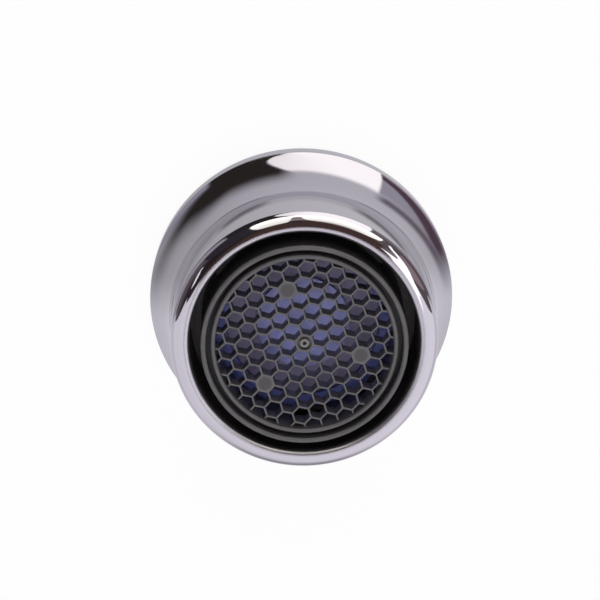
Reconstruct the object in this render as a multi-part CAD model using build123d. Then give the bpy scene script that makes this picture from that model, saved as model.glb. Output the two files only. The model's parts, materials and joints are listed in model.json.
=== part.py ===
from build123d import *
import math
import os

# Tap aerator standing on its inlet rim: the spout screws in from below, water leaves upwards along +Z.
# Millimetres. The origin is the centre of the inlet rim face.

# Shell, from the inlet thread outwards
THREAD_MINOR_DIAMETER = 20.92
THREAD_LENGTH = 3.5
THREAD_LEAD_IN = 0.4
THREAD_RELIEF_LENGTH = 0.2
THREAD_RELIEF_DEPTH = 0.5
SEAT_STEP = 0.36
SHOULDER_WIDTH = 0.48
NECK_WALL = 1.6
COVE_REACH = 1.98
COVE_TOP = 7.4
RIM_LAND = 1.6
RIM_FOOT_ROUND = 0.25
SHELL_HEIGHT = 13.9
LIP_OUTER_ROUND = 1.0
LIP_INNER_ROUND = 0.4

# Rubber washer between the spout and the insert
WASHER_THICKNESS = 1.3
WASHER_CLEARANCE = 0.11
WASHER_INNER_LAND = 0.7

# Grey insert housing
FLANGE_THICKNESS = 1.6
FLANGE_CLEARANCE = 0.12
AIR_GAP = 0.94
POT_WALL = 0.58
LEDGE_WIDTH = 0.5
LEDGE_DROP = 1.2
FIELD_STEP = 0.15
OUTLET_RECESS = 0.1
HONEYCOMB_DEPTH = 1.5
CELL_PITCH = 1.4
CELL_WALL = 0.17
CELL_TURN = 13.1
BLANK_CELL_STEPS = 2
POST_GROOVE_DIAMETER = 1.16
POST_BOSS_DIAMETER = 0.78
POST_PINHOLE_DIAMETER = 0.3
POST_GROOVE_DEPTH = 0.35
GROOVE_DROP = 0.6
INNER_RIDGE_WIDTH = 0.4
INNER_RIDGE_RISE = 0.52
OUTER_RIDGE_WIDTH = 0.44
OUTER_RIDGE_RISE = 0.66
WINDOW_COUNT = 8
WINDOW_WIDTH = 3.0
WINDOW_HEIGHT = 1.8
WINDOW_OFFSET = 0.5

# Blue diffuser ring and splash disc
STACK_CLEARANCE = 0.05
DIFFUSER_THICKNESS = 1.0
DIFFUSER_SHOW = 1.1
REBATE_WIDTH = 0.7
REBATE_DEPTH = 0.6
SPLASH_DIAMETER = 8.0
SPLASH_THICKNESS = 0.3
COLLAR_DIAMETER = 3.0
STEM_DIAMETER = 1.76
STEM_CLEARANCE = 0.02

# Flow regulator
PLATE_THICKNESS = 0.6
BODY_WALL = 0.75
HUB_DIAMETER = 4.0
PORT_COUNT = 8
PORT_DIAMETER = 0.8
PORT_CIRCLE_DIAMETER = 5.6
O_RING_SECTION = 0.8
O_RING_DIAMETER = 9.5
CAP_THICKNESS = 0.4
CAP_SLOT_COUNT = 12
CAP_SLOT_WIDTH = 0.6

# Inlet filter
FILTER_FLANGE_THICKNESS = 0.5
FILTER_FLANGE_CLEARANCE = 0.1
SKIRT_WALL = 0.7
MESH_GAP = 1.2
MESH_THICKNESS = 0.4
MESH_PITCH = 1.15
MESH_BAR = 0.35

# Radii, each worked out from its neighbour
thread_r = THREAD_MINOR_DIAMETER / 2
seat_r = thread_r - SEAT_STEP
bore_r = seat_r - SHOULDER_WIDTH
neck_r = bore_r + NECK_WALL
rim_r = neck_r + COVE_REACH
flange_r = seat_r - FLANGE_CLEARANCE
housing_r = bore_r - AIR_GAP
pot_r = housing_r - POT_WALL
chamber_r = pot_r - LEDGE_WIDTH
field_r = chamber_r - FIELD_STEP
washer_inner_r = pot_r + WASHER_INNER_LAND
stack_r = pot_r - STACK_CLEARANCE
diffuser_inner_r = chamber_r - DIFFUSER_SHOW
rebate_r = diffuser_inner_r + REBATE_WIDTH
body_r = rebate_r - STACK_CLEARANCE
channel_r = body_r - BODY_WALL
stem_r = STEM_DIAMETER / 2
stem_hole_r = stem_r + STEM_CLEARANCE
skirt_inner_r = stack_r - SKIRT_WALL

# Heights, stacked from the inlet rim to the outlet
thread_end = THREAD_LEAD_IN + THREAD_LENGTH
washer_face = thread_end + THREAD_RELIEF_LENGTH
flange_face = washer_face + WASHER_THICKNESS
shoulder = flange_face + FLANGE_THICKNESS
ledge = shoulder + LEDGE_DROP
outlet_plane = SHELL_HEIGHT - OUTLET_RECESS
honeycomb_back = outlet_plane - HONEYCOMB_DEPTH
groove_floor = outlet_plane - GROOVE_DROP
diffuser_face = ledge - DIFFUSER_THICKNESS
body_seat = ledge - REBATE_DEPTH
channel_floor = body_seat - PLATE_THICKNESS
body_face = channel_floor - O_RING_SECTION
cap_face = body_face - CAP_THICKNESS
mesh_back = cap_face - MESH_GAP
mesh_face = mesh_back - MESH_THICKNESS


def lathe(outline):
    """Turn a closed outline of (radius, height) edges about the Z axis."""
    return revolve(Plane.XZ * make_face(outline), Axis.Z)


def ring(inner, outer, low, high):
    """Flat ring between two radii and two heights."""
    section = Circle(outer) - Circle(inner) if inner > 0 else Circle(outer)
    return Pos(0, 0, low) * extrude(section, high - low)


def around(count, radius):
    """Evenly spaced places on a circle, each facing outwards."""
    return [Rot(0, 0, 360 * k / count) * Pos(radius, 0, 0) for k in range(count)]


def rounded_ridge(inner, width, low, high):
    """Raised ring with a half-round crest."""
    middle = inner + width / 2
    outer = inner + width
    spring = high - width / 2
    crest = ThreePointArc((inner, spring), (middle, high), (outer, spring))
    sides = Polyline((outer, spring), (outer, low), (inner, low), (inner, spring))
    return lathe(crest + sides)


def make_shell():
    """Turned body: rim, cove, neck and rolled lip outside; thread, seat and outlet bore inside."""
    foot_diagonal = RIM_FOOT_ROUND * (1 - math.sqrt(0.5))
    foot = ThreePointArc(
        (rim_r - RIM_FOOT_ROUND, 0),
        (rim_r - foot_diagonal, foot_diagonal),
        (rim_r, RIM_FOOT_ROUND),
    )
    land = Line((rim_r, RIM_FOOT_ROUND), (rim_r, RIM_LAND))
    cove = TangentArc((neck_r, COVE_TOP), (rim_r, RIM_LAND), tangent=(0, -1))
    lip_spring = SHELL_HEIGHT - LIP_OUTER_ROUND
    neck = Line((neck_r, COVE_TOP), (neck_r, lip_spring))
    crest_r = neck_r - LIP_OUTER_ROUND
    outer_lip = TangentArc((neck_r, lip_spring), (crest_r, SHELL_HEIGHT), tangent=(0, 1))
    inner_crest_r = bore_r + LIP_INNER_ROUND
    inner_spring = SHELL_HEIGHT - LIP_INNER_ROUND
    crest = Line((crest_r, SHELL_HEIGHT), (inner_crest_r, SHELL_HEIGHT))
    inner_lip = TangentArc((inner_crest_r, SHELL_HEIGHT), (bore_r, inner_spring), tangent=(-1, 0))
    relief_r = thread_r + THREAD_RELIEF_DEPTH
    inside = Polyline(
        (bore_r, inner_spring),
        (bore_r, shoulder),
        (seat_r, shoulder),
        (seat_r, washer_face),
        (relief_r, washer_face),
        (relief_r, thread_end),
        (thread_r, thread_end),
        (thread_r, THREAD_LEAD_IN),
        (thread_r + THREAD_LEAD_IN, 0),
        (rim_r - RIM_FOOT_ROUND, 0),
    )
    return lathe(foot + land + cove + neck + outer_lip + crest + inner_lip + inside)


def make_sealing_washer():
    return ring(washer_inner_r, seat_r - WASHER_CLEARANCE, washer_face, flange_face)


def honeycomb_cells():
    """Open cells inside the field; the centre and three cells around it stay closed."""
    s = BLANK_CELL_STEPS
    closed = {(0, 0), (s, s), (-2 * s, s), (s, -2 * s)}
    cell = RegularPolygon((CELL_PITCH - CELL_WALL) / 2, 6, major_radius=False, rotation=30)
    reach = math.ceil(2 * field_r / CELL_PITCH)
    openings = []
    for a in range(-reach, reach + 1):
        for b in range(-reach, reach + 1):
            x = CELL_PITCH * (a + b / 2)
            y = CELL_PITCH * b * math.sqrt(3) / 2
            if (a, b) not in closed and math.hypot(x, y) < field_r + CELL_PITCH / 2:
                openings += (Rot(0, 0, CELL_TURN) * Pos(x, y) * cell & Circle(field_r)).faces()
    return [opening for opening in openings if opening.area > CELL_WALL**2]


def make_insert_housing():
    """One moulding: flange and pot at the inlet, slotted chamber, honeycomb outlet with two ring ridges."""
    wall = lathe(Polyline(
        (pot_r, flange_face),
        (flange_r, flange_face),
        (flange_r, shoulder),
        (housing_r, shoulder),
        (housing_r, groove_floor),
        (field_r, groove_floor),
        (field_r, honeycomb_back),
        (chamber_r, honeycomb_back),
        (chamber_r, ledge),
        (pot_r, ledge),
        close=True,
    ))
    inner_top = outlet_plane + INNER_RIDGE_RISE
    outer_top = outlet_plane + OUTER_RIDGE_RISE
    outer_ridge_r = housing_r - OUTER_RIDGE_WIDTH
    inner_ridge = rounded_ridge(field_r, INNER_RIDGE_WIDTH, honeycomb_back, inner_top)
    outer_ridge = rounded_ridge(outer_ridge_r, OUTER_RIDGE_WIDTH, honeycomb_back, outer_top)
    grid = ring(0, field_r, honeycomb_back, outlet_plane)
    grid -= Pos(0, 0, honeycomb_back) * extrude(Sketch(honeycomb_cells()), HONEYCOMB_DEPTH)
    boss_r = POST_BOSS_DIAMETER / 2
    grid -= ring(boss_r, POST_GROOVE_DIAMETER / 2, outlet_plane - POST_GROOVE_DEPTH, outlet_plane)
    grid -= ring(0, POST_PINHOLE_DIAMETER / 2, outlet_plane - POST_GROOVE_DEPTH, outlet_plane)
    from_axis = (Align.MIN, Align.CENTER, Align.MIN)
    window = Box(bore_r, WINDOW_WIDTH, WINDOW_HEIGHT, align=from_axis)
    window_low = Pos(0, 0, ledge + WINDOW_OFFSET)
    windows = [window_low * place * window for place in around(WINDOW_COUNT, 0)]
    return wall + inner_ridge + outer_ridge + grid - windows


def make_diffuser_ring():
    """Blue ring on the housing's ledge, rebated at the inlet side for the regulator."""
    return lathe(Polyline(
        (diffuser_inner_r, ledge),
        (stack_r, ledge),
        (stack_r, diffuser_face),
        (rebate_r, diffuser_face),
        (rebate_r, body_seat),
        (diffuser_inner_r, body_seat),
        close=True,
    ))


def make_splash_disc():
    """Blue disc that spreads the water, on a collared stem pushed into the regulator's hub."""
    disc_back = ledge - SPLASH_THICKNESS
    disc = ring(0, SPLASH_DIAMETER / 2, disc_back, ledge)
    collar = ring(0, COLLAR_DIAMETER / 2, body_seat, disc_back)
    return disc + collar + ring(0, stem_r, cap_face, body_seat)


def make_regulator_body():
    """Cup with an annular channel for the elastic ring and ports in the channel floor."""
    cup = ring(stem_hole_r, body_r, body_face, body_seat)
    cup -= ring(HUB_DIAMETER / 2, channel_r, body_face, channel_floor)
    port = ring(0, PORT_DIAMETER / 2, channel_floor, body_seat)
    return cup - [place * port for place in around(PORT_COUNT, PORT_CIRCLE_DIAMETER / 2)]


def make_regulator_o_ring():
    middle = channel_floor - O_RING_SECTION / 2
    return Pos(0, 0, middle) * Torus(O_RING_DIAMETER / 2, O_RING_SECTION / 2)


def make_regulator_cap():
    """Slotted disc that keeps the elastic ring in its channel."""
    slot_middle = (HUB_DIAMETER / 2 + channel_r) / 2
    slot_length = channel_r - HUB_DIAMETER / 2 - 2 * CAP_SLOT_WIDTH
    slot = Box(slot_length, CAP_SLOT_WIDTH, CAP_THICKNESS, align=(Align.CENTER, Align.CENTER, Align.MIN))
    slots = [Pos(0, 0, cap_face) * place * slot for place in around(CAP_SLOT_COUNT, slot_middle)]
    return ring(stem_hole_r, body_r, cap_face, body_face) - slots


def mesh_holes():
    """Square openings of the sieve that lie whole inside its frame."""
    side = MESH_PITCH - MESH_BAR
    reach = math.ceil(skirt_inner_r / MESH_PITCH)
    limit = skirt_inner_r - MESH_PITCH / 2
    steps = [MESH_PITCH * (k + 0.5) for k in range(-reach, reach)]
    return [Pos(x, y) * Rectangle(side, side) for x in steps for y in steps if math.hypot(x, y) < limit]


def make_filter_screen():
    """Moulded sieve: mesh plate, flange on the housing and a skirt that holds the stack down."""
    frame = lathe(Polyline(
        (0, mesh_face),
        (stack_r, mesh_face),
        (stack_r, flange_face - FILTER_FLANGE_THICKNESS),
        (washer_inner_r - FILTER_FLANGE_CLEARANCE, flange_face - FILTER_FLANGE_THICKNESS),
        (washer_inner_r - FILTER_FLANGE_CLEARANCE, flange_face),
        (stack_r, flange_face),
        (stack_r, diffuser_face),
        (skirt_inner_r, diffuser_face),
        (skirt_inner_r, mesh_back),
        (0, mesh_back),
        close=True,
    ))
    return frame - Pos(0, 0, mesh_face) * extrude(Sketch(mesh_holes()), MESH_THICKNESS)


PIECES = {
    "shell": make_shell,
    "sealing_washer": make_sealing_washer,
    "insert_housing": make_insert_housing,
    "diffuser_ring": make_diffuser_ring,
    "splash_disc": make_splash_disc,
    "regulator_body": make_regulator_body,
    "regulator_o_ring": make_regulator_o_ring,
    "regulator_cap": make_regulator_cap,
    "filter_screen": make_filter_screen,
}

os.makedirs("parts", exist_ok=True)
for name, make in PIECES.items():
    export_step(make(), f"parts/{name}.step")
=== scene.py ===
import json
import math
from itertools import accumulate

import bmesh
import bpy
from mathutils import Matrix, Vector
from mathutils.geometry import delaunay_2d_cdt


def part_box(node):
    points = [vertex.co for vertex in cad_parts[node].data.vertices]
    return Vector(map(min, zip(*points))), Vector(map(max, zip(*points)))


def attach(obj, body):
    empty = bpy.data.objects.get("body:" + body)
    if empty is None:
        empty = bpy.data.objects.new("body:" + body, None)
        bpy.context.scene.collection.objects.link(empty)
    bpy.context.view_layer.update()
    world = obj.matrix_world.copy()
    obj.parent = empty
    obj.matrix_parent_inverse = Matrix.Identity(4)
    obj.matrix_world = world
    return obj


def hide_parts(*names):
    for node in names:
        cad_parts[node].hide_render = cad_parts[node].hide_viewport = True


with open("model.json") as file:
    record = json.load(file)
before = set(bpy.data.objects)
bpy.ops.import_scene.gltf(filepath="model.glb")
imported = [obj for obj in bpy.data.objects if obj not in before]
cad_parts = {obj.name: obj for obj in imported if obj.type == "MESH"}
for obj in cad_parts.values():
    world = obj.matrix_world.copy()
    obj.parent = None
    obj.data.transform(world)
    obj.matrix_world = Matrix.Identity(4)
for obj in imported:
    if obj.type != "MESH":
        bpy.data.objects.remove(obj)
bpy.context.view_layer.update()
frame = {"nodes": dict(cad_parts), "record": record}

MM = 0.001
TURN = math.tau

# Sizes read from the solids
rim_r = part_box("shell")[1].x
shell_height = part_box("shell")[1].z
flange_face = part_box("insert_housing")[0].z
flange_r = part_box("insert_housing")[1].x
ridge_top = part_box("insert_housing")[1].z
washer_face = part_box("sealing_washer")[0].z
washer_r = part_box("sealing_washer")[1].x
diffuser_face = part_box("diffuser_ring")[0].z
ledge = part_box("diffuser_ring")[1].z
stack_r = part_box("diffuser_ring")[1].x
cap_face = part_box("splash_disc")[0].z
splash_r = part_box("splash_disc")[1].x
body_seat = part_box("regulator_body")[1].z
mesh_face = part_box("filter_screen")[0].z
filter_flange_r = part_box("filter_screen")[1].x
inlet = next(mount for mount in frame["record"]["mounts"] if mount["name"] == "inlet_thread")
thread_r = inlet["dims"]["r_mm"] * MM
thread_length = inlet["dims"]["length_mm"] * MM

# Shell sizes that its box doesn't give
NECK_R = 11.22 * MM
BORE_R = 9.62 * MM
SEAT_R = 10.1 * MM
SHOULDER = 7.0 * MM
COVE_TOP = 7.4 * MM
RIM_LAND = 1.6 * MM
FOOT_ROUND = 0.25 * MM
LIP_OUTER_ROUND = 1.0 * MM
LIP_INNER_ROUND = 0.4 * MM
RELIEF_DEPTH = 0.5 * MM

# Inlet thread, with its crest's flat and its flank as shares of the pitch
THREAD_LEAD_IN = 0.4 * MM
THREAD_PITCH = 1.0 * MM
THREAD_DEPTH = 0.54 * MM
THREAD_FADE = 0.35 * MM
THREAD_CREST_FLAT = 1 / 4
THREAD_FLANK = 5 / 16

# Insert sizes that its box doesn't give
HOUSING_R = 8.68 * MM
POT_R = 8.1 * MM
CHAMBER_R = 7.6 * MM
FIELD_R = 7.45 * MM
FIELD_BURIED = 0.12 * MM
OUTLET_PLANE = 13.8 * MM
HONEYCOMB_BACK = 12.3 * MM
GROOVE_FLOOR = 13.2 * MM
INNER_RIDGE_WIDTH = 0.4 * MM
INNER_RIDGE_RISE = 0.52 * MM
OUTER_RIDGE_WIDTH = 0.44 * MM
CELL_PITCH = 1.4 * MM
CELL_WALL = 0.17 * MM
CELL_TURN = math.radians(13.1)
CELL_EDGE_ROUND = 0.05 * MM
BLANK_CELL_STEPS = 2
POST_GROOVE_R = 0.58 * MM
POST_BOSS_R = 0.39 * MM
POST_PINHOLE_R = 0.15 * MM
POST_GROOVE_DEPTH = 0.35 * MM
WINDOW_COUNT = 8
WINDOW_WIDTH = 3.0 * MM
WINDOW_LOW = ledge + 0.5 * MM
WINDOW_HIGH = WINDOW_LOW + 1.8 * MM

# Sizes of the plates behind the honeycomb, the washer and the sieve
DIFFUSER_INNER_R = 6.5 * MM
REBATE_R = 7.2 * MM
SPLASH_THICKNESS = 0.3 * MM
COLLAR_R = 1.5 * MM
STEM_R = 0.88 * MM
MOULDED_EDGE = 0.06 * MM
WASHER_INNER_R = 8.8 * MM
WASHER_EDGE = 0.12 * MM
SKIRT_INNER_R = 7.35 * MM
FILTER_FLANGE_THICKNESS = 0.5 * MM
MESH_THICKNESS = 0.4 * MM
MESH_PITCH = 1.15 * MM
MESH_BAR = 0.35 * MM
MESH_CORNER = 0.12 * MM

# The photograph's view, in its 600 pixel frame
IMAGE_SIZE = 600
OUTLET_PIXEL = (304.55, 343.3)
VIEW_TILT = math.radians(18.85)
VIEW_DISTANCE = 242 * MM
VIEW_ROLL = math.radians(175.9)
PIXELS_PER_MM = 11.985
SENSOR_WIDTH = 36.0
CLIP_START = 10 * MM

# How finely round shapes are stepped
TURN_STEPS = 384
COVE_STEPS = 48
LIP_STEPS = 28
INNER_LIP_STEPS = 16
FOOT_STEPS = 10
RIDGE_STEPS = 14
MOULDED_EDGE_STEPS = 5
SMALL_ROUND_STEPS = 4
CELL_EDGE_STEPS = 3
POST_STEPS = 48
FIELD_SIDES = 240
THREAD_ROWS_PER_PITCH = 14
SKY_STEPS = 8
SKY_ROWS = 12
TABLE_STEPS = 180
SMOOTH_ANGLE = math.radians(35)
SHELL_SMOOTH_ANGLE = math.radians(30)

# Lengths too small to count
SAME_RADIUS = 0.01 * MM
SHORTEST_SIDE = 0.02 * MM
JOIN_DISTANCE = 1e-4 * MM
SLIVER = 1e-5 * MM
FILL_TOLERANCE = 1e-6

# Tones of the finishes, as linear red, green and blue
CHROME = (0.62, 0.605, 0.65)
# Tone of the rougher plating in the outlet bore, darkened as painted shade
DULL_SHADED_CHROME = (0.15, 0.135, 0.14)
GREY = (0.096, 0.0905, 0.095)
GREY_SHADE = (0.075, 0.0705, 0.075)
PALE_BLUE = (0.33, 0.34, 0.74)
PALE_BLUE_SHADE = (0.25, 0.26, 0.62)
DEEP_BLUE = (0.092, 0.106, 0.337)
DEEP_BLUE_SHADE = (0.066, 0.078, 0.272)
VIOLET_GREY = (0.183, 0.162, 0.265)
VIOLET_GREY_SHADE = (0.141, 0.124, 0.208)
WHITE = (0.72, 0.72, 0.69)
WHITE_SHADE = (0.62, 0.62, 0.59)
RUBBER = (0.012, 0.012, 0.013)
RUBBER_BLOOM = (0.028, 0.028, 0.029)
# Painted shade for the insert's recesses, chamber, pinhole and closed cells, and for the splash disc's edge
PAINTED_SHADE = (0.034, 0.031, 0.033)
# Painted shade, black, on the floor of the groove between the ridges
GROOVE_SHADE = (0.006, 0.0055, 0.006)
# Paler tone in a ring on the boss's face
PALE_BOSS = (0.155, 0.147, 0.147)

# Soft edges in the finishes: start and end in millimetres from the place that the name gives
DULL_OFF_BORE = (0.02, 0.1)
DULL_BELOW_LIP = (0.35, 0.9)
HAZE_OFF_BORE = (0.3, 0.6)
SHADE_OFF_HOUSING = (-0.06, -0.01)
SHADE_BELOW_CREST = (0.2, 0.5)
BLACK_ABOVE_FLOOR = (0.05, 0.2)
SHADE_BELOW_HONEYCOMB = (0.1, 0.4)
SHADE_OFF_CHAMBER = (0.1, 0.2)
CLOSED_CELL_EDGE = (0.5, 0.65)
DISC_SHADE_EDGE = (1.4, 3.8)

# Widths of the finest edges, in millimetres
FINE_EDGE = 0.03
MOAT_EDGE = 0.02
PINHOLE_EDGE = 0.04
BOSS_EDGE = 0.08

# How much of the painted shade lies on each place
CHAMBER_SHADE = 0.75
CLOSED_CELL_SHADE = 0.8
MOAT_SHADE = 0.3
DISC_SHADE = 0.3

# How a moulded surface varies
DRIFT_SHARE = 0.7
TONE_SPREAD = (0.3, 0.75)
BLOOM_SPREAD = (0.4, 0.7)
ROUGHNESS_SPREAD = 0.12
GRAIN_DEPTH = 0.02 * MM

# Roughness of the plating and the rubber, and what adds to it
CHROME_ROUGHNESS = 0.035
HAZE_ROUGHNESS = 0.03
INNER_EDGE_ROUGHNESS = 0.3
DULL_ROUGHNESS = 0.15
RUBBER_ROUGHNESS = 0.62
RUBBER_GRAIN_ROUGHNESS = 0.2


class Value:
    """A shader socket; arithmetic on it adds Math nodes."""

    def __init__(self, finish, socket):
        self.finish = finish
        self.socket = socket

    def maths(self, operation, *values):
        return self.finish.node("ShaderNodeMath", {"operation": operation}, dict(enumerate(values)))

    def __add__(self, other):
        return self.maths("ADD", self, other)

    __radd__ = __add__

    def __sub__(self, other):
        return self.maths("SUBTRACT", self, other)

    def __rsub__(self, other):
        return self.maths("SUBTRACT", other, self)

    def __mul__(self, other):
        return self.maths("MULTIPLY", self, other)

    __rmul__ = __mul__

    def __truediv__(self, other):
        return self.maths("DIVIDE", self, other)

    def __rtruediv__(self, other):
        return self.maths("DIVIDE", other, self)

    def __abs__(self):
        return self.maths("ABSOLUTE", self)

    def __pow__(self, other):
        return self.maths("POWER", self, other)

    def at_least(self, other):
        return self.maths("MAXIMUM", self, other)

    def at_most(self, other):
        return self.maths("MINIMUM", self, other)

    def rise(self, start, end):
        """0 up to start, 1 from end on, smooth in between."""
        settings = {"interpolation_type": "SMOOTHSTEP"}
        sockets = {"Value": self, "From Min": start, "From Max": end}
        return self.finish.node("ShaderNodeMapRange", settings, sockets)

    def fall(self, start, end):
        """1 up to start, 0 from end on, smooth in between."""
        return 1 - self.rise(start, end)


class Finish:
    """The nodes of one material, or of the world."""

    def __init__(self, tree):
        self.tree = tree
        self.tree.nodes.clear()

    def node(self, kind, settings, sockets, out=0):
        """Add a node: its settings first, then its socket values or links; gives one of its outputs."""
        node = self.tree.nodes.new(kind)
        for name, setting in settings.items():
            setattr(node, name, setting)
        for name, value in sockets.items():
            if isinstance(value, Value):
                self.tree.links.new(value.socket, node.inputs[name])
            else:
                node.inputs[name].default_value = value
        return Value(self, node.outputs[out]) if node.outputs else None

    def place(self):
        """Position on the object, in millimetres."""
        metres = self.node("ShaderNodeTexCoord", {}, {}, "Object")
        settings = {"operation": "SCALE"}
        return self.node("ShaderNodeVectorMath", settings, {0: metres, "Scale": 1 / MM})

    def axes(self, vector):
        return [self.node("ShaderNodeSeparateXYZ", {}, {0: vector}, axis) for axis in "XYZ"]

    def vector(self, x, y, z):
        return self.node("ShaderNodeCombineXYZ", {}, {0: x, 1: y, 2: z})

    def noise(self, vector, scale, detail, roughness=0.5):
        sockets = {"Vector": vector, "Scale": scale, "Detail": detail, "Roughness": roughness}
        return self.node("ShaderNodeTexNoise", {}, sockets, "Fac")

    def mix(self, factor, first, second):
        """A colour that goes from first to second."""
        ends = [end if isinstance(end, Value) else (*end, 1.0) for end in (first, second)]
        return self.node("ShaderNodeMix", {"data_type": "RGBA"}, {0: factor, 6: ends[0], 7: ends[1]}, 2)

    def bump(self, height, strength):
        sockets = {"Height": height, "Strength": strength, "Distance": GRAIN_DEPTH}
        return self.node("ShaderNodeBump", {}, sockets)

    def surface(self, shader):
        self.node("ShaderNodeOutputMaterial", {}, {"Surface": shader})

    def glow(self, tone):
        """Make the surface a light of this tone."""
        colour = tone if isinstance(tone, Value) else (*tone, 1.0)
        self.surface(self.node("ShaderNodeEmission", {}, {"Color": colour}))


def new_material(name):
    material = bpy.data.materials.new(name)
    material.use_nodes = True
    return material, Finish(material.node_tree)


def principled(finish, **sockets):
    names = {name.replace("_", " ").title(): value for name, value in sockets.items()}
    finish.surface(finish.node("ShaderNodeBsdfPrincipled", {}, names))


def from_axis(x, y):
    """Distance from the part's axis, or from another upright line that x and y start at."""
    return (x * x + y * y) ** 0.5


def chrome_plating():
    """Bright plating: a mirror with the faint rings of the lathe under it, rougher down in the outlet bore
    and darker there, the darker tone being painted shade.
    """
    material, finish = new_material("chrome_plating")
    place = finish.place()
    x, y, height = finish.axes(place)
    radius = from_axis(x, y)
    lathe_rings = finish.noise(finish.vector(radius, height, 0.0), scale=9.0, detail=4.0)
    haze = finish.noise(place, scale=1.3, detail=3.0)
    off_bore = radius - BORE_R / MM
    # Down in the bore the plating is rougher, and its darker colour there is painted shade
    dull_shaded = off_bore.fall(*DULL_OFF_BORE) * (shell_height / MM - height).rise(*DULL_BELOW_LIP)
    roughness = CHROME_ROUGHNESS + haze * HAZE_ROUGHNESS
    roughness += off_bore.fall(*HAZE_OFF_BORE) * INNER_EDGE_ROUGHNESS + dull_shaded * DULL_ROUGHNESS
    principled(
        finish,
        base_color=finish.mix(dull_shaded, CHROME, DULL_SHADED_CHROME),
        metallic=1.0,
        roughness=roughness,
        normal=finish.bump(lathe_rings, strength=0.02),
    )
    return material


def closed_cells():
    """Lattice steps of the cells that stay closed: the centre and three around it."""
    steps = BLANK_CELL_STEPS
    return [(0, 0), (steps, steps), (-2 * steps, steps), (steps, -2 * steps)]


def cell_centre(a, b):
    centre = Vector((CELL_PITCH * (a + b / 2), CELL_PITCH * b * math.sqrt(3) / 2))
    return Matrix.Rotation(CELL_TURN, 2) @ centre


def insert_marks(finish, place):
    """Painted shade on the outside wall, in the chamber, on closed cells, in the pinhole and the post's
    groove, black painted shade on the groove floor, and a paler ring on the boss.
    """
    x, y, height = finish.axes(place)
    radius = from_axis(x, y)
    inner_crest = (FIELD_R + INNER_RIDGE_WIDTH) / MM
    outer_crest = (HOUSING_R - OUTER_RIDGE_WIDTH) / MM
    # Every mask here but the boss's paints shade: the groove floor, the outside wall, the chamber, the
    # closed cells, the pinhole and the post's groove
    groove = radius.rise(inner_crest - FINE_EDGE, inner_crest)
    groove *= radius.fall(outer_crest, outer_crest + FINE_EDGE)
    groove_shade = groove * (height - GROOVE_FLOOR / MM).fall(*BLACK_ABOVE_FLOOR)
    outside = (radius - HOUSING_R / MM).rise(*SHADE_OFF_HOUSING)
    painted_shade = outside * (ridge_top / MM - height).rise(*SHADE_BELOW_CREST)
    chamber = (HONEYCOMB_BACK / MM - height).rise(*SHADE_BELOW_HONEYCOMB)
    painted_shade += chamber * (radius - CHAMBER_R / MM).fall(*SHADE_OFF_CHAMBER) * CHAMBER_SHADE
    for steps in closed_cells()[1:]:
        centre = cell_centre(*steps) / MM
        painted_shade += from_axis(x - centre.x, y - centre.y).fall(*CLOSED_CELL_EDGE) * CLOSED_CELL_SHADE
    pinhole, boss, moat = POST_PINHOLE_R / MM, POST_BOSS_R / MM, POST_GROOVE_R / MM
    painted_shade += radius.fall(pinhole - FINE_EDGE, pinhole)
    painted_shade += radius.rise(boss, boss + FINE_EDGE) * radius.fall(moat, moat + MOAT_EDGE) * MOAT_SHADE
    # A paler ring on the boss's face
    pale_ring = radius.rise(pinhole, pinhole + PINHOLE_EDGE) * radius.fall(boss - BOSS_EDGE, boss)
    return [(painted_shade, PAINTED_SHADE), (groove_shade, GROOVE_SHADE), (pale_ring, PALE_BOSS)]


def disc_marks(finish, place):
    """Painted shade on the splash disc, darker towards its edge."""
    x, y, _ = finish.axes(place)
    # Painted shade, growing towards the disc's edge
    return [(from_axis(x, y).rise(*DISC_SHADE_EDGE) * DISC_SHADE, PAINTED_SHADE)]


def moulded_plastic(name, colour, shade, roughness, grain, marks=None):
    """Satin moulding: slow tone drift, a fine eroded grain, and the masks and tones that marks gives."""
    material, finish = new_material(name)
    place = finish.place()
    drift = finish.noise(place, scale=0.45, detail=2.0)
    fine = finish.noise(place, scale=grain, detail=5.0, roughness=0.6)
    tone = (drift * DRIFT_SHARE + fine * (1 - DRIFT_SHARE)).rise(*TONE_SPREAD)
    base_color = finish.mix(tone, shade, colour)
    for mask, mark in marks(finish, place) if marks else []:
        base_color = finish.mix(mask, base_color, mark)
    principled(
        finish,
        base_color=base_color,
        roughness=(fine - 0.5) * ROUGHNESS_SPREAD + roughness,
        normal=finish.bump(fine, strength=0.12),
    )
    return material


def black_rubber():
    """Matt moulded rubber with a soft bloom."""
    material, finish = new_material("black_rubber")
    place = finish.place()
    bloom = finish.noise(place, scale=0.8, detail=4.0)
    grain = finish.noise(place, scale=14.0, detail=3.0)
    principled(
        finish,
        base_color=finish.mix(bloom.rise(*BLOOM_SPREAD), RUBBER, RUBBER_BLOOM),
        roughness=RUBBER_ROUGHNESS + grain * RUBBER_GRAIN_ROUGHNESS,
        normal=finish.bump(grain, strength=0.25),
    )
    return material


def piece(name, mesh, material, replaces, smooth_angle=SMOOTH_ANGLE):
    """Put a finished mesh on the part, in place of a plain solid."""
    mesh.materials.append(material)
    mesh.shade_smooth()
    mesh.set_sharp_from_angle(angle=smooth_angle)
    made = bpy.data.objects.new(name, mesh)
    bpy.context.scene.collection.objects.link(made)
    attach(made, "root")
    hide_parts(replaces)


def arc(centre, radius, start, end, steps):
    """Points of a circular arc in the (radius, height) plane, from one angle to another in degrees."""
    angles = [math.radians(start + (end - start) * k / steps) for k in range(steps + 1)]
    return [(centre[0] + radius * math.cos(a), centre[1] + radius * math.sin(a)) for a in angles]


def straight(start, end, steps):
    """Points from start up to, but not including, end."""
    shares = [k / steps for k in range(steps)]
    return [(start[0] + (end[0] - start[0]) * t, start[1] + (end[1] - start[1]) * t) for t in shares]


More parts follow.
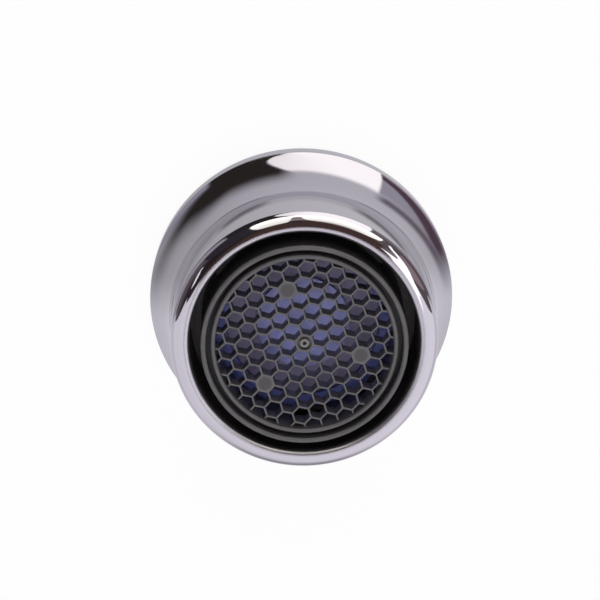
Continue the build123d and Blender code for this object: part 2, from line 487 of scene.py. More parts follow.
def turned(outline, relief=None, closed=True, skip=None):
    """Points and faces of an outline of (radius, height) turned about the Z axis."""
    points = []
    for radius, height in outline:
        for step in range(TURN_STEPS):
            angle = TURN * step / TURN_STEPS
            reach = relief(radius, height, angle) if relief else radius
            points.append((reach * math.cos(angle), reach * math.sin(angle), height))
    rows = len(outline)
    faces = []
    for row in range(rows if closed else rows - 1):
        for step in range(TURN_STEPS):
            if skip is None or not skip(row, step):
                low = row * TURN_STEPS
                high = (row + 1) % rows * TURN_STEPS
                after = (step + 1) % TURN_STEPS
                faces.append((low + step, low + after, high + after, high + step))
    return points, faces


def mesh_of(name, *shapes):
    """One mesh from several lists of points and faces, with doubled points joined and faces outwards."""
    joined = bmesh.new()
    for points, faces in shapes:
        corners = [joined.verts.new(point) for point in points]
        for face in faces:
            joined.faces.new([corners[k] for k in face])
    bmesh.ops.remove_doubles(joined, verts=joined.verts, dist=JOIN_DISTANCE)
    bmesh.ops.dissolve_degenerate(joined, edges=joined.edges, dist=SLIVER)
    bmesh.ops.recalc_face_normals(joined, faces=joined.faces)
    mesh = bpy.data.meshes.new(name)
    joined.to_mesh(mesh)
    joined.free()
    return mesh


def thread_relief(radius, height, angle):
    """Right-hand groove of the inlet thread, fading out at both ends of its bore."""
    from_end = min(height - THREAD_LEAD_IN, THREAD_LEAD_IN + thread_length - height)
    if abs(radius - thread_r) > SAME_RADIUS or from_end < 0:
        return radius
    off_crest = abs((height / THREAD_PITCH - angle / TURN) % 1.0 - 0.5)
    depth = min(max((off_crest - THREAD_CREST_FLAT / 2) / THREAD_FLANK, 0.0), 1.0)
    return radius + THREAD_DEPTH * depth * min(from_end / THREAD_FADE, 1.0)


def cove_arc():
    """Hollow between the neck and the rim: tangent to the neck, ending on the rim's edge."""
    reach = rim_r - NECK_R
    drop = COVE_TOP - RIM_LAND
    radius = (reach**2 + drop**2) / (2 * reach)
    sweep = math.degrees(math.asin(drop / radius))
    return arc((NECK_R + radius, COVE_TOP), radius, 180 + sweep, 180, COVE_STEPS)


def make_shell():
    lip_centre = (NECK_R - LIP_OUTER_ROUND, shell_height - LIP_OUTER_ROUND)
    inner_lip_centre = (BORE_R + LIP_INNER_ROUND, shell_height - LIP_INNER_ROUND)
    thread_end = THREAD_LEAD_IN + thread_length
    thread_rows = round(thread_length / THREAD_PITCH * THREAD_ROWS_PER_PITCH)
    outline = [
        *arc((rim_r - FOOT_ROUND, FOOT_ROUND), FOOT_ROUND, -90, 0, FOOT_STEPS),
        *cove_arc(),
        *arc(lip_centre, LIP_OUTER_ROUND, 0, 90, LIP_STEPS),
        *arc(inner_lip_centre, LIP_INNER_ROUND, 90, 180, INNER_LIP_STEPS),
        (BORE_R, SHOULDER),
        (SEAT_R, SHOULDER),
        (SEAT_R, washer_face),
        (thread_r + RELIEF_DEPTH, washer_face),
        (thread_r + RELIEF_DEPTH, thread_end),
        *straight((thread_r, thread_end), (thread_r, THREAD_LEAD_IN), thread_rows),
        (thread_r, THREAD_LEAD_IN),
        (thread_r + THREAD_LEAD_IN, 0.0),
    ]
    mesh = mesh_of("shell_turning", turned(outline, thread_relief))
    piece("shell_turning", mesh, chrome_plating(), "shell", SHELL_SMOOTH_ANGLE)


def clipped_to_circle(outline, radius):
    """The part of a convex outline that lies inside a circle about the axis."""
    for side in range(FIELD_SIDES):
        angle = TURN * side / FIELD_SIDES
        outward = Vector((math.cos(angle), math.sin(angle)))
        kept = []
        for start, end in zip(outline, outline[1:] + outline[:1]):
            from_start = radius - outward.dot(start)
            from_end = radius - outward.dot(end)
            if from_start >= 0:
                kept.append(start)
            if from_start * from_end < 0:
                kept.append(start.lerp(end, from_start / (from_start - from_end)))
        outline = kept
        if len(outline) < 3:
            return []
    return [a for a, b in zip(outline, outline[1:] + outline[:1]) if (a - b).length > SHORTEST_SIDE]


def area(outline):
    return abs(sum(a.x * b.y - b.x * a.y for a, b in zip(outline, outline[1:] + outline[:1]))) / 2


def honeycomb_cells(edge):
    """Outlines of the open cells, cut off at the field's edge."""
    corner_r = (CELL_PITCH - CELL_WALL) / math.sqrt(3)
    corners = [corner_r * Vector((math.cos(t), math.sin(t)))
               for t in (CELL_TURN + math.radians(60 * k + 30) for k in range(6))]
    reach = math.ceil(2 * FIELD_R / CELL_PITCH)
    cells = []
    for a in range(-reach, reach + 1):
        for b in range(-reach, reach + 1):
            centre = cell_centre(a, b)
            if (a, b) not in closed_cells() and centre.length < FIELD_R + CELL_PITCH / 2:
                cells.append(clipped_to_circle([centre + corner for corner in corners], edge))
    return [cell for cell in cells if cell and area(cell) > CELL_WALL**2]


def circle(radius, steps):
    angles = [TURN * k / steps for k in range(steps)]
    return [radius * Vector((math.cos(a), math.sin(a))) for a in angles]


def grown(outline, distance):
    """A convex outline with every side moved outwards."""
    moved = []
    for before, corner, after in zip(outline[-1:] + outline[:-1], outline, outline[1:] + outline[:1]):
        first = (corner - before).normalized()
        second = (after - corner).normalized()
        outward = Vector((first.y + second.y, -first.x - second.x))
        moved.append(corner + outward * distance / (1 + first.dot(second)))
    return moved


def plate_face(outer, holes, height):
    """Flat face of a plate between its outer edge and its holes, filled at millimetre scale."""
    corners = [corner / MM for outline in [outer, *holes] for corner in outline]
    ends = list(accumulate(len(outline) for outline in [outer, *holes]))
    loops = [list(range(end - len(outline), end)) for end, outline in zip(ends, [outer, *holes])]
    inside_only = 1
    filled = delaunay_2d_cdt(corners, [], loops, inside_only, FILL_TOLERANCE)
    points = [(corner.x * MM, corner.y * MM, height) for corner in filled[0]]
    solid = [face for face, inside in zip(filled[2], filled[5]) if inside == [0]]
    return points, solid


def hole_wall(outline, low, high, edge_round):
    """Wall of one hole through a plate, with its two edges rounded."""
    across = [math.radians(90 * k / CELL_EDGE_STEPS) for k in range(CELL_EDGE_STEPS + 1)]
    upper = [(1 - math.cos(t), high - edge_round + edge_round * math.sin(t)) for t in across]
    lower = [(1 - math.cos(t), low + edge_round - edge_round * math.sin(t)) for t in across[::-1]]
    points = []
    for share, height in lower + upper:
        points += [(corner.x, corner.y, height) for corner in grown(outline, share * edge_round)]
    return points, strips(len(lower + upper), len(outline))


def strips(rows, columns):
    """Faces between rows of points that each close on themselves."""
    faces = []
    for row in range(rows - 1):
        for column in range(columns):
            first = row * columns + column
            after = row * columns + (column + 1) % columns
            faces.append((first, after, after + columns, first + columns))
    return faces


def pierced_plate(outer, holes, low, high, edge_round):
    """Points and faces of the two faces and the holes of a flat plate, without its outer edge."""
    mouths = [grown(hole, edge_round) for hole in holes]
    shapes = [plate_face(outer, mouths, low), plate_face(outer, mouths, high)]
    return shapes + [hole_wall(hole, low, high, edge_round) for hole in holes]


def plate_edge(outer, low, high):
    """Points and faces of the upright outer edge of a flat plate."""
    points = [(corner.x, corner.y, height) for height in (low, high) for corner in outer]
    return points, strips(2, len(outer))


def ridge(inner, width, top):
    """Half-round crest of a moulded ring, from its outer side to its inner side."""
    middle = inner + width / 2
    return arc((middle, top - width / 2), width / 2, 0, 180, RIDGE_STEPS)


def window_steps():
    """Steps of the turning that lie in each air window."""
    half = round(math.asin(WINDOW_WIDTH / 2 / HOUSING_R) / TURN * TURN_STEPS)
    middles = [TURN_STEPS * k // WINDOW_COUNT for k in range(WINDOW_COUNT)]
    return [range(middle - half, middle + half) for middle in middles]


def housing_wall():
    """Flange, pot, chamber and ring ridges, with the air windows cut through the chamber's wall."""
    outer_low, outer_high = (HOUSING_R, WINDOW_LOW), (HOUSING_R, WINDOW_HIGH)
    inner_low, inner_high = (CHAMBER_R, WINDOW_LOW), (CHAMBER_R, WINDOW_HIGH)
    outline = [
        (POT_R, flange_face),
        (flange_r - MOULDED_EDGE, flange_face),
        (flange_r, flange_face + MOULDED_EDGE),
        (flange_r, SHOULDER),
        (HOUSING_R, SHOULDER),
        outer_low,
        outer_high,
        *ridge(HOUSING_R - OUTER_RIDGE_WIDTH, OUTER_RIDGE_WIDTH, ridge_top),
        (HOUSING_R - OUTER_RIDGE_WIDTH, GROOVE_FLOOR),
        (FIELD_R + INNER_RIDGE_WIDTH, GROOVE_FLOOR),
        *ridge(FIELD_R, INNER_RIDGE_WIDTH, OUTLET_PLANE + INNER_RIDGE_RISE),
        (FIELD_R, HONEYCOMB_BACK),
        (CHAMBER_R, HONEYCOMB_BACK),
        inner_high,
        inner_low,
        (CHAMBER_R, ledge),
        (POT_R, ledge),
    ]
    cut_steps = {step % TURN_STEPS for steps in window_steps() for step in steps}
    cut_rows = {outline.index(outer_low), outline.index(inner_high)}
    points, faces = turned(outline, skip=lambda row, step: row in cut_rows and step in cut_steps)

    def corner(place, step):
        return outline.index(place) * TURN_STEPS + step % TURN_STEPS

    for steps in window_steps():
        for side in (steps.start, steps.stop):
            around = (outer_low, outer_high, inner_high, inner_low)
            faces.append([corner(place, side) for place in around])
        for step in steps:
            for outer, inner in ((outer_low, inner_low), (inner_high, outer_high)):
                faces.append([corner(outer, step), corner(outer, step + 1),
                              corner(inner, step + 1), corner(inner, step)])
    return points, faces


def centre_post():
    """Round post in the honeycomb's centre: a ring groove, a boss and a pinhole."""
    floor = OUTLET_PLANE - POST_GROOVE_DEPTH
    soft = CELL_EDGE_ROUND
    outline = [
        (0.0, HONEYCOMB_BACK + soft),
        (POST_GROOVE_R + soft, HONEYCOMB_BACK + soft),
        (POST_GROOVE_R + soft, floor),
        (POST_BOSS_R, floor),
        *arc((POST_BOSS_R - soft, OUTLET_PLANE - soft), soft, 0, 90, SMALL_ROUND_STEPS),
        *arc((POST_PINHOLE_R + soft, OUTLET_PLANE - soft), soft, 90, 180, SMALL_ROUND_STEPS),
        (POST_PINHOLE_R, floor),
        (0.0, floor),
    ]
    return turned(outline, closed=False)


def make_insert():
    grey = moulded_plastic("grey_acetal", GREY, GREY_SHADE, roughness=0.34, grain=8.0, marks=insert_marks)
    holes = honeycomb_cells(FIELD_R + FIELD_BURIED / 2) + [circle(POST_GROOVE_R, POST_STEPS)]
    field = circle(FIELD_R + FIELD_BURIED, TURN_STEPS)
    grid = pierced_plate(field, holes, HONEYCOMB_BACK, OUTLET_PLANE, CELL_EDGE_ROUND)
    grid.append(plate_edge(field, HONEYCOMB_BACK, OUTLET_PLANE))
    mesh = mesh_of("insert_moulding", housing_wall(), centre_post(), *grid)
    piece("insert_moulding", mesh, grey, "insert_housing")


def outer_round(radius, low, edge):
    """Rounded lower outer edge of a turned piece."""
    return arc((radius - edge, low + edge), edge, -90, 0, MOULDED_EDGE_STEPS)


def upper_round(radius, high, edge):
    """Rounded upper outer edge of a turned piece."""
    return arc((radius - edge, high - edge), edge, 0, 90, MOULDED_EDGE_STEPS)


def inner_round(radius, high, edge):
    """Rounded upper edge of a turned piece's bore."""
    return arc((radius + edge, high - edge), edge, 90, 180, MOULDED_EDGE_STEPS)


def make_washer():
    lower_bore = (WASHER_INNER_R + WASHER_EDGE, washer_face + WASHER_EDGE)
    outline = [
        *outer_round(washer_r, washer_face, WASHER_EDGE),
        *upper_round(washer_r, flange_face, WASHER_EDGE),
        *inner_round(WASHER_INNER_R, flange_face, WASHER_EDGE),
        *arc(lower_bore, WASHER_EDGE, 180, 270, MOULDED_EDGE_STEPS),
    ]
    piece("washer_ring", mesh_of("washer_ring", turned(outline)), black_rubber(), "sealing_washer")


def make_splash_disc():
    pale_blue = moulded_plastic(
        "pale_blue_acetal", PALE_BLUE, PALE_BLUE_SHADE, roughness=0.4, grain=6.0, marks=disc_marks)
    disc_back = ledge - SPLASH_THICKNESS
    outline = [
        (0.0, cap_face),
        (STEM_R, cap_face),
        (STEM_R, body_seat),
        (COLLAR_R, body_seat),
        (COLLAR_R, disc_back),
        *outer_round(splash_r, disc_back, MOULDED_EDGE),
        *upper_round(splash_r, ledge, MOULDED_EDGE),
        (0.0, ledge),
    ]
    mesh = mesh_of("splash_plate", turned(outline, closed=False))
    piece("splash_plate", mesh, pale_blue, "splash_disc")


def make_diffuser():
    deep_blue = moulded_plastic("deep_blue_acetal", DEEP_BLUE, DEEP_BLUE_SHADE, roughness=0.4, grain=6.0)
    outline = [
        (REBATE_R, diffuser_face),
        *outer_round(stack_r, diffuser_face, MOULDED_EDGE),
        *upper_round(stack_r, ledge, MOULDED_EDGE),
        *inner_round(DIFFUSER_INNER_R, ledge, MOULDED_EDGE),
        (DIFFUSER_INNER_R, body_seat),
        (REBATE_R, body_seat),
    ]
    piece("diffuser_moulding", mesh_of("diffuser_moulding", turned(outline)), deep_blue, "diffuser_ring")


def mesh_holes():
    """Square openings of the sieve that lie whole inside its frame, with rounded corners."""
    half = (MESH_PITCH - MESH_BAR) / 2
    straight_half = half - MESH_CORNER
    outline = []
    for quarter, (x, y) in enumerate(((1, 1), (-1, 1), (-1, -1), (1, -1))):
        start = 90 * quarter
        round_corner = arc(
            (x * straight_half, y * straight_half), MESH_CORNER, start, start + 90, SMALL_ROUND_STEPS)
        outline += [Vector(point) for point in round_corner]
    reach = math.ceil(SKIRT_INNER_R / MESH_PITCH)
    steps = [MESH_PITCH * (k + 0.5) for k in range(-reach, reach)]
    places = [Vector((x, y)) for x in steps for y in steps]
    kept = [place for place in places if place.length < SKIRT_INNER_R - MESH_PITCH / 2]
    return [[place + point for point in outline] for place in kept]


def make_filter():
    white = moulded_plastic("white_acetal", WHITE, WHITE_SHADE, roughness=0.45, grain=8.0)
    mesh_back = mesh_face + MESH_THICKNESS
    mesh_r = SKIRT_INNER_R - MESH_BAR / 2
    flange_low = flange_face - FILTER_FLANGE_THICKNESS
    frame_outline = [
        (mesh_r, mesh_face),
        *outer_round(stack_r, mesh_face, MOULDED_EDGE),
        (stack_r, flange_low),
        *outer_round(filter_flange_r, flange_low, MOULDED_EDGE),
        (filter_flange_r, flange_face),
        (stack_r, flange_face),
        (stack_r, diffuser_face),
        (SKIRT_INNER_R, diffuser_face),
        (SKIRT_INNER_R, mesh_back),
        (mesh_r, mesh_back),
    ]
    edge = circle(mesh_r, TURN_STEPS)
    sieve = pierced_plate(edge, mesh_holes(), mesh_face, mesh_back, CELL_EDGE_ROUND)
    mesh = mesh_of("sieve_moulding", turned(frame_outline, closed=False), *sieve)
    piece("sieve_moulding", mesh, white, "filter_screen")


def finish_regulator():
    """The regulator's own solids show only as a plate behind the honeycomb: they stay and get finishes."""
    violet_grey = moulded_plastic(
        "violet_grey_acetal", VIOLET_GREY, VIOLET_GREY_SHADE, roughness=0.5, grain=7.0)
    finishes = {
        "regulator_body": violet_grey,
        "regulator_cap": violet_grey,
        "regulator_o_ring": black_rubber(),
    }
    for node, material in finishes.items():
        solid = frame["nodes"][node]
        solid.data.materials.clear()
        solid.data.materials.append(material)


# Outlines of the studio's cards: azimuth from -Y towards +X, lower and upper elevation, in degrees
RIGHT_BOX = [(-52, 0, 34), (-49, 0, 50), (-42, 0, 58), (-32, 0, 62), (-22, 0, 60), (-14, 0, 56),
             (-8, 0, 48), (-5, 0, 38), (-3.5, 0, 18), (-1, 0, 14)]
LEFT_BOX = [(-1, 0, 14), (2, 0, 18), (3.5, 0, 42), (5, 0, 56), (10, 0, 63), (20, 0, 66), (25, 3, 64),
            (27, 10, 54)]
BOX_GAP = [(-12, 10, 48), (-4, 10, 50), (4, 10, 50), (8, 10, 46)]
STRIP_LIGHT = [(-57, 6, 20), (-61, 20, 32), (-68, 28, 40), (-74, 34, 52), (-80, 42, 67), (-86, 50, 73),
               (-95, 57, 74), (-110, 62, 75), (-125, 69, 76), (-150, 71, 76), (-165, 72.5, 74.5)]
LEFT_WINDOW = [(65, 35, 40), (69, 37, 43), (73, 42, 50), (79, 48, 55), (86, 53, 59)]
RIGHT_SHADE = [(-52, 0, 50), (-65, 0, 50)]
RIGHT_WALL = [(-65, 0, 60), (-87, 0, 60)]
FAR_RIGHT_SHADE = [(-87, 0, 60), (-99, 0, 62)]
LEFT_DARK = [(-4, 0, 65), (58, 0, 65)]
LEFT_SHADE = [(58, 0, 66), (94, 0, 66)]
BACK_WALL = [(92, -8, 78), (262, -8, 78)]
CEILING = [(-180, 72.5, 90), (-150, 75, 90), (-95, 71, 90), (-75, 40, 90), (-50, 35, 90), (30, 35, 90),
           (60, 58, 90), (92, 54, 90), (105, 63, 90), (120, 70.5, 90), (150, 75, 90), (180, 72.5, 90)]

# How far off the cards stand, in metres, the lights in front
LIGHT_DISTANCE = 0.7
CURTAIN_DISTANCE = 0.73
RIGHT_DISTANCE = 0.74
LEFT_DISTANCE = 0.76
CEILING_DISTANCE = 0.78
BACK_DISTANCE = 0.79

# Tones of the cards, and the heights or places in millimetres between which they change
BOX_FOOT = (1.9, 1.86, 1.72)
BOX_HEAD = (1.4, 1.36, 1.24)
BOX_FADED = (0.12, 0.1, 0.1)
BOX_DIMMING = (200.0, 480.0)
RIGHT_BOX_FADE = (480.0, 630.0)
LEFT_BOX_FADE = (560.0, 670.0)
CURTAIN_GREY = (0.34, 0.29, 0.27)
TUBE_WHITE = (1.9, 1.85, 1.9)
WINDOW_WHITE = (1.15, 1.1, 1.15)
BROWN_WALL = (0.33, 0.25, 0.26)
BROWN_SHADE = (0.13, 0.105, 0.11)
STUDIO_DARK = (0.036, 0.03, 0.038)
SHADE_LOW = (0.14, 0.115, 0.12)
SHADE_HIGH = (0.022, 0.018, 0.022)
SHADE_HEIGHTS = (60.0, 640.0)
CEILING_BROWN = (0.075, 0.045, 0.04)
CEILING_BLACK = (0.026, 0.02, 0.02)
CEILING_PLACES = (60.0, 230.0)
WALL_RIGHT = (1.0, 0.97, 1.03)
WALL_LEFT = (0.88, 0.85, 0.91)
WALL_PLACES = (-500.0, 500.0)
WALL_PATCH = (0.4, 0.38, 0.41)
WALL_PATCH_MIDDLE = 80.0
WALL_PATCH_WIDTH = (120.0, 480.0)
WALL_PATCH_HEIGHT = (-150.0, 480.0)


def stage_card(name, points, faces, material):
    """Card that only mirrors show: it lights nothing, shades nothing and stays out of the picture."""
    mesh = bpy.data.meshes.new(name)
    mesh.from_pydata(points, [], faces)
    mesh.materials.append(material)
    card = bpy.data.objects.new(name, mesh)
    bpy.context.scene.collection.objects.link(card)
    card.visible_camera = False
    card.visible_diffuse = False
    card.visible_shadow = False


def sky_card(name, columns, material, distance):
    """Card bent to a sphere around the part, from columns of an azimuth and two elevations."""
    filled = []
    for start, end in zip(columns, columns[1:]):
        shares = [step / SKY_STEPS for step in range(SKY_STEPS)]
        filled += [[p + (q - p) * share for p, q in zip(start, end)] for share in shares]
    points = []
    for column in filled + [columns[-1]]:
        azimuth, low, high = map(math.radians, column)
        for row in range(SKY_ROWS + 1):
            up = low + (high - low) * row / SKY_ROWS
            flat = distance * math.cos(up)
            points.append((flat * math.sin(azimuth), -flat * math.cos(azimuth), distance * math.sin(up)))
    faces = []
    for column in range(len(filled)):
        for row in range(SKY_ROWS):
            first = column * (SKY_ROWS + 1) + row
            beside = first + SKY_ROWS + 1
            faces.append((first, beside, beside + 1, first + 1))
    stage_card(name, points, faces, material)


def even_glow(name, colour):
    material, finish = new_material(name)
    finish.glow(colour)
    return material


def fading_glow(name, axis, places, first, second):
    """Light that goes from one tone to another along an axis."""
    material, finish = new_material(name)
    along = finish.axes(finish.place())["XYZ".index(axis)]
    finish.glow(finish.mix(along.rise(*places), first, second))
    return material


def box_glow(name, fade):
    """Soft box: brightest at its foot, a little weaker upwards, then fading out between two heights."""
    material, finish = new_material(name)
    height = finish.axes(finish.place())[2]
    light = finish.mix(height.rise(*BOX_DIMMING), BOX_FOOT, BOX_HEAD)
    finish.glow(finish.mix(height.rise(*fade), light, BOX_FADED))
    return material


def back_wall_glow():
    """Pale wall behind the part, with a grey patch low in its middle."""
    material, finish = new_material("back_wall")
    x, _, height = finish.axes(finish.place())
    wall = finish.mix(x.rise(*WALL_PLACES), WALL_RIGHT, WALL_LEFT)
    patch = abs(x - WALL_PATCH_MIDDLE).fall(*WALL_PATCH_WIDTH) * height.fall(*WALL_PATCH_HEIGHT)
    finish.glow(finish.mix(patch, wall, WALL_PATCH))
    return material


# The table that the shell's hollow mirrors: a flat ring just above the floor, around the foot
TABLE_GAP = 0.05 * MM
TABLE_RISE = 0.02 * MM
TABLE_R = 0.8

# Tones of the table
# The grey at the foot, painted shadow of the part, goes between these two tones
FOOT_DARK = (0.0, 0.0, 0.0)
FOOT_WHITE = (1.0, 0.97, 1.03)
RIGHT_GREY = (0.4, 0.38, 0.43)
RIGHT_PALE = (0.58, 0.55, 0.62)
RIGHT_DARK = (0.14, 0.11, 0.12)
RIGHT_BAND = (0.105, 0.066, 0.09)
RIGHT_CREASE = (0.1, 0.07, 0.1)
SHEET_WHITE = (1.26, 1.2, 1.16)
SHEET_BRIGHT = (1.55, 1.49, 1.44)
LEFT_GREY = (0.38, 0.355, 0.415)
LEFT_FAR = (0.07, 0.06, 0.065)
LEFT_BLACK = (0.03, 0.024, 0.022)

# Painted shadow at the foot, grey: its levels, radii in millimetres, and directions as parts to the left
# and ahead
FOOT_LEVEL = 0.435
FOOT_LEAST_LEVEL = 0.47
FOOT_BOX_GAIN = 0.2
FOOT_BACK_GAIN = 0.27
BACK_PATCH_LOSS = 0.36
BACK_PATCH_REACH = (20.0, 34.0)
BACK_PATCH_MIDDLE = 0.1
BACK_PATCH_WIDTH = (0.15, 0.6)
BOX_DIRECTION = (-0.5, 0.87)
FOOT_LINE_START = (13.45, 13.7)
FOOT_LINE_END = (13.85, 14.3)
FOOT_LINE_LEVEL = 0.2
FOOT_STREAK_LEVEL = 0.5
LEFT_STREAK = (0.47, 0.88)
LEFT_STREAK_EDGE = (0.95, 0.996)
RIGHT_STREAK = (-0.77, 0.64)
RIGHT_STREAK_EDGE = (0.93, 0.99)

# Soft edges on the table in millimetres, and how much they lean with the distance ahead or aside
FRONT_EDGE = (-3.0, 4.0)
FOOT_EDGE = (18.7, 20.1)
FOOT_EDGE_LEAN = 0.1
RIGHT_PALE_EDGE = (-22.0, -19.0)
RIGHT_DARK_EDGE = (-28.0, -23.5)
BAND_LEFT_EDGE = (-17.6, -16.6)
BAND_RIGHT_EDGE = (-19.6, -18.2)
BAND_LEAN = 0.2
CREASE_R = 17.2
CREASE_WIDTH = (0.1, 1.1)
CREASE_LEFT_EDGE = (0.0, 3.6)
CREASE_LEAN = 1.05
CREASE_STRENGTH = 0.85
SHEET_TONE_EDGE = (-9.0, 6.0)
SHEET_RIGHT_EDGE = (0.2, 1.2)
SHEET_RIGHT_LEAN = 0.93
SHEET_LEFT_SOFTNESS = (-0.5, 0.6)
SHEET_LEFT_FAR = 9.0
SHEET_LEFT_BEND = 54.0
SHEET_LEFT_NEAR = 13.0
SHEET_LEFT_LEAST = 4.0
LEFT_FADE = (45.0, 200.0)
BLACK_RIGHT_EDGE = (-1.5, 2.5)
BLACK_LEFT_EDGE = (15.6, 20.6)
BLACK_FAR_EDGE = (-1.4, 1.6)
BLACK_FAR_LEAN = 0.84
BLACK_NEAR_EDGE = (16.0, 19.6)
BLACK_BULGE = 0.6
BLACK_BULGE_START = (9.0, 12.0)
BLACK_BULGE_END = (12.8, 15.5)


class Table:
    """Tones of the table by place: x to the left in the photograph, ahead of the part, and off its axis."""

    def __init__(self, finish):
        self.finish = finish
        self.x, y, _ = finish.axes(finish.place())
        self.ahead = 0 - y
        self.radius = from_axis(self.x, y)
        self.in_front = self.ahead.rise(*FRONT_EDGE)
        bend = SHEET_LEFT_BEND / (self.ahead - SHEET_LEFT_NEAR).at_least(SHEET_LEFT_LEAST)
        self.left_of_sheet = (self.x - (SHEET_LEFT_FAR - bend)).rise(*SHEET_LEFT_SOFTNESS)

    def along(self, direction):
        """How far a place's direction from the axis lies along another: about 1 where they agree."""
        left, ahead = direction
        return (self.x * left + self.ahead * ahead) / self.radius

    def foot(self):
        """Painted shadow of the part round its foot: grey, paler to the right box and behind, with a darker
        line that two streaks deepen.
        """
        behind = 1 - self.in_front
        aside = abs(self.x / self.radius - BACK_PATCH_MIDDLE)
        patch = behind * self.radius.rise(*BACK_PATCH_REACH) * aside.fall(*BACK_PATCH_WIDTH)
        level = (FOOT_LEVEL + self.along(BOX_DIRECTION) * FOOT_BOX_GAIN).at_least(FOOT_LEAST_LEVEL)
        level += behind * FOOT_BACK_GAIN - patch * BACK_PATCH_LOSS
        depth = FOOT_LINE_LEVEL
        for streak, edge in ((LEFT_STREAK, LEFT_STREAK_EDGE), (RIGHT_STREAK, RIGHT_STREAK_EDGE)):
            depth += self.along(streak).rise(*edge) * FOOT_STREAK_LEVEL
        # Darker line of painted contact shadow close round the foot
        line = self.radius.rise(*FOOT_LINE_START) * self.radius.fall(*FOOT_LINE_END) * depth
        return self.finish.mix(level * (1 - line), FOOT_DARK, FOOT_WHITE)

    def ground(self):
        """White sheet ahead, grey with a dark band to its right, grey that darkens far to its left."""
        mix = self.finish.mix
        band = self.x.fall(*BAND_LEFT_EDGE) * (self.x + self.ahead * BAND_LEAN).rise(*BAND_RIGHT_EDGE)
        right = mix(self.x.rise(*RIGHT_PALE_EDGE), RIGHT_PALE, RIGHT_GREY)
        right = mix(self.x.rise(*RIGHT_DARK_EDGE), RIGHT_DARK, right)
        right = mix(band * self.in_front, right, RIGHT_BAND)
        sheet = mix(self.x.rise(*SHEET_TONE_EDGE), SHEET_BRIGHT, SHEET_WHITE)
        left = mix(self.radius.rise(*LEFT_FADE), LEFT_GREY, LEFT_FAR)
        on_sheet = (self.x + self.ahead * SHEET_RIGHT_LEAN).rise(*SHEET_RIGHT_EDGE)
        return mix(self.left_of_sheet, mix(on_sheet, right, sheet), left)

    def black(self):
        """Where the table is black: left of the sheet, with soft ends on the left and at the foot."""
        left_end = (self.x - self.ahead * BLACK_FAR_LEAN).rise(*BLACK_FAR_EDGE)
        left_end = left_end.at_most(self.x.rise(*BLACK_LEFT_EDGE))
        bulge = self.x.rise(*BLACK_BULGE_START) * self.x.fall(*BLACK_BULGE_END) * BLACK_BULGE
        near_end = (self.radius + bulge).rise(*BLACK_NEAR_EDGE)
        return self.left_of_sheet * (1 - left_end) * near_end * self.x.rise(*BLACK_RIGHT_EDGE)

    def crease(self):
        """Where a thin dark crease runs round the foot, on the right."""
        across = abs(self.radius - CREASE_R).fall(*CREASE_WIDTH)
        return across * (self.x + self.ahead * CREASE_LEAN).fall(*CREASE_LEFT_EDGE) * CREASE_STRENGTH


def table_glow():
    """What the hollow of the shell mirrors: its foot in painted shadow, the ground ahead, a black patch and
    a crease.
    """
    material, finish = new_material("table_tones")
    table = Table(finish)
    off_foot = (table.radius - table.x * FOOT_EDGE_LEAN).rise(*FOOT_EDGE)
    tone = finish.mix(off_foot * table.in_front, table.foot(), table.ground())
    tone = finish.mix(table.black() * table.in_front, tone, LEFT_BLACK)
    finish.glow(finish.mix(table.crease() * table.in_front, tone, RIGHT_CREASE))
    return material


def table_card():
    """Flat ring on the floor around the foot."""
    rings = [circle(radius, TABLE_STEPS) for radius in (rim_r + TABLE_GAP, TABLE_R)]
    points = [(place.x, place.y, TABLE_RISE) for ring in rings for place in ring]
    stage_card("table", points, strips(2, TABLE_STEPS), table_glow())


def make_surround():
    """What the chrome mirrors: the table, two soft boxes in front, a strip light and the studio around."""
    table_card()
    sky_card("right_soft_box", RIGHT_BOX, box_glow("right_soft_box", RIGHT_BOX_FADE), LIGHT_DISTANCE)
    sky_card("left_soft_box", LEFT_BOX, box_glow("left_soft_box", LEFT_BOX_FADE), LIGHT_DISTANCE)
    sky_card("box_gap", BOX_GAP, even_glow("grey_curtain", CURTAIN_GREY), CURTAIN_DISTANCE)
    sky_card("strip_light", STRIP_LIGHT, even_glow("strip_light", TUBE_WHITE), LIGHT_DISTANCE)
    sky_card("left_window", LEFT_WINDOW, even_glow("dim_window", WINDOW_WHITE), LIGHT_DISTANCE)
    brown_shade = even_glow("brown_shade", BROWN_SHADE)
    sky_card("wall_right", RIGHT_WALL, even_glow("brown_wall", BROWN_WALL), RIGHT_DISTANCE)
    sky_card("shade_right", RIGHT_SHADE, brown_shade, RIGHT_DISTANCE)
    sky_card("shade_far_right", FAR_RIGHT_SHADE, brown_shade, RIGHT_DISTANCE)
    sky_card("dark_left", LEFT_DARK, even_glow("dark_studio", STUDIO_DARK), LEFT_DISTANCE)
    left_shade = fading_glow("left_shade", "Z", SHADE_HEIGHTS, SHADE_LOW, SHADE_HIGH)
    sky_card("shade_left", LEFT_SHADE, left_shade, LEFT_DISTANCE)
    sky_card("back_wall", BACK_WALL, back_wall_glow(), BACK_DISTANCE)
    ceiling = fading_glow("dark_ceiling", "X", CEILING_PLACES, CEILING_BROWN, CEILING_BLACK)
    sky_card("ceiling", CEILING, ceiling, CEILING_DISTANCE)


# The white floor, its half width in metres, and the sky
FLOOR_HALF = 3.0
FLOOR_MATT = (0.95, 0.95, 0.95, 1.0)
PLAIN_WHITE = (1.0, 1.0, 1.0, 1.0)
FLOOR_WHITE_SHARE = 0.9
SKY_LIGHT = 0.25


def shows_background(finish):
    """1 for rays that should see the white background: straight, in metal and through clear pieces."""
    rays = ("Is Camera Ray", "Is Glossy Ray", "Is Transmission Ray")
    seen = [finish.node("ShaderNodeLightPath", {}, {}, ray) for ray in rays]
    return (seen[0] + seen[1] + seen[2]).at_most(1.0)


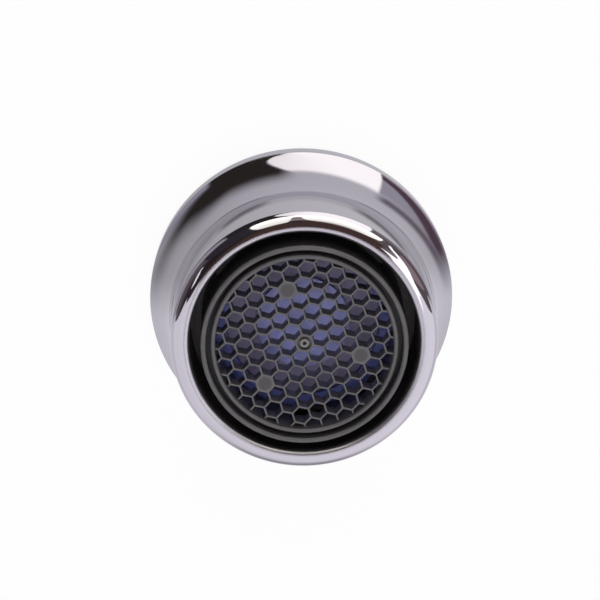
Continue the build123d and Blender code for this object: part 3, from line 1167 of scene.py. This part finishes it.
def make_floor():
    material, finish = new_material("white_floor")
    matt = finish.node("ShaderNodeBsdfDiffuse", {}, {"Color": FLOOR_MATT})
    white = finish.node("ShaderNodeEmission", {}, {"Color": PLAIN_WHITE})
    share = shows_background(finish) * FLOOR_WHITE_SHARE
    finish.surface(finish.node("ShaderNodeMixShader", {}, {0: share, 1: matt, 2: white}))
    mesh = bpy.data.meshes.new("floor")
    corners = [(x * FLOOR_HALF, y * FLOOR_HALF, 0.0) for x, y in ((-1, -1), (1, -1), (1, 1), (-1, 1))]
    mesh.from_pydata(corners, [], [(0, 1, 2, 3)])
    mesh.materials.append(material)
    floor = bpy.data.objects.new("floor", mesh)
    bpy.context.scene.collection.objects.link(floor)


def make_world():
    world = bpy.data.worlds.new("white_studio")
    bpy.context.scene.world = world
    world.use_nodes = True
    finish = Finish(world.node_tree)
    strength = shows_background(finish) * (1 - SKY_LIGHT) + SKY_LIGHT
    sky = finish.node("ShaderNodeBackground", {}, {"Color": PLAIN_WHITE, "Strength": strength})
    finish.node("ShaderNodeOutputWorld", {}, {"Surface": sky})


def make_lamp(name, place, size, level):
    """Soft lamp aimed at the outlet; level is what it adds to a white surface that faces it."""
    aim = Vector((0.0, 0.0, OUTLET_PLANE)) - Vector(place)
    lamp = bpy.data.lights.new(name, "AREA")
    lamp.shape = "DISK"
    lamp.size = size
    lamp.energy = level * (math.pi * aim.length) ** 2
    holder = bpy.data.objects.new(name, lamp)
    bpy.context.scene.collection.objects.link(holder)
    holder.location = place
    holder.rotation_euler = aim.to_track_quat("-Z", "Y").to_euler()
    holder.visible_glossy = False
    holder.visible_camera = False


def make_lamps():
    """Two soft lamps at a plain level for the matt pieces: one overhead, one in front."""
    make_lamp("overhead_lamp", place=(0.0, 0.08, 0.75), size=0.5, level=0.72)
    make_lamp("front_lamp", place=(-0.08, -0.5, 0.5), size=0.35, level=0.12)


def make_camera():
    """Camera at the photograph's tilt, turned about its axis so that the inlet rim rises in the frame."""
    target = Vector((0.0, 0.0, OUTLET_PLANE))
    back = Vector((0.0, -math.sin(VIEW_TILT), math.cos(VIEW_TILT)))
    up = Matrix.Rotation(VIEW_ROLL, 3, back) @ Vector((0.0, math.cos(VIEW_TILT), math.sin(VIEW_TILT)))
    right = up.cross(back)
    focal = PIXELS_PER_MM / MM * VIEW_DISTANCE
    aside = OUTLET_PIXEL[0] - IMAGE_SIZE / 2
    below = OUTLET_PIXEL[1] - IMAGE_SIZE / 2
    ahead = (-back * focal - right * aside + up * below).normalized()
    right = ahead.cross(up).normalized()
    up = right.cross(ahead)
    data = bpy.data.cameras.new("photo_camera")
    data.sensor_width = SENSOR_WIDTH
    data.lens = focal / IMAGE_SIZE * SENSOR_WIDTH
    data.clip_start = CLIP_START
    camera = bpy.data.objects.new("photo_camera", data)
    bpy.context.scene.collection.objects.link(camera)
    facing = Matrix((right, up, -ahead)).transposed().to_4x4()
    camera.matrix_world = Matrix.Translation(target + back * VIEW_DISTANCE) @ facing
    bpy.context.scene.camera = camera


make_camera()
make_shell()
make_insert()
make_washer()
make_splash_disc()
make_diffuser()
make_filter()
finish_regulator()
make_floor()
make_world()
make_surround()
make_lamps()

bpy.context.scene.view_settings.view_transform = "Standard"
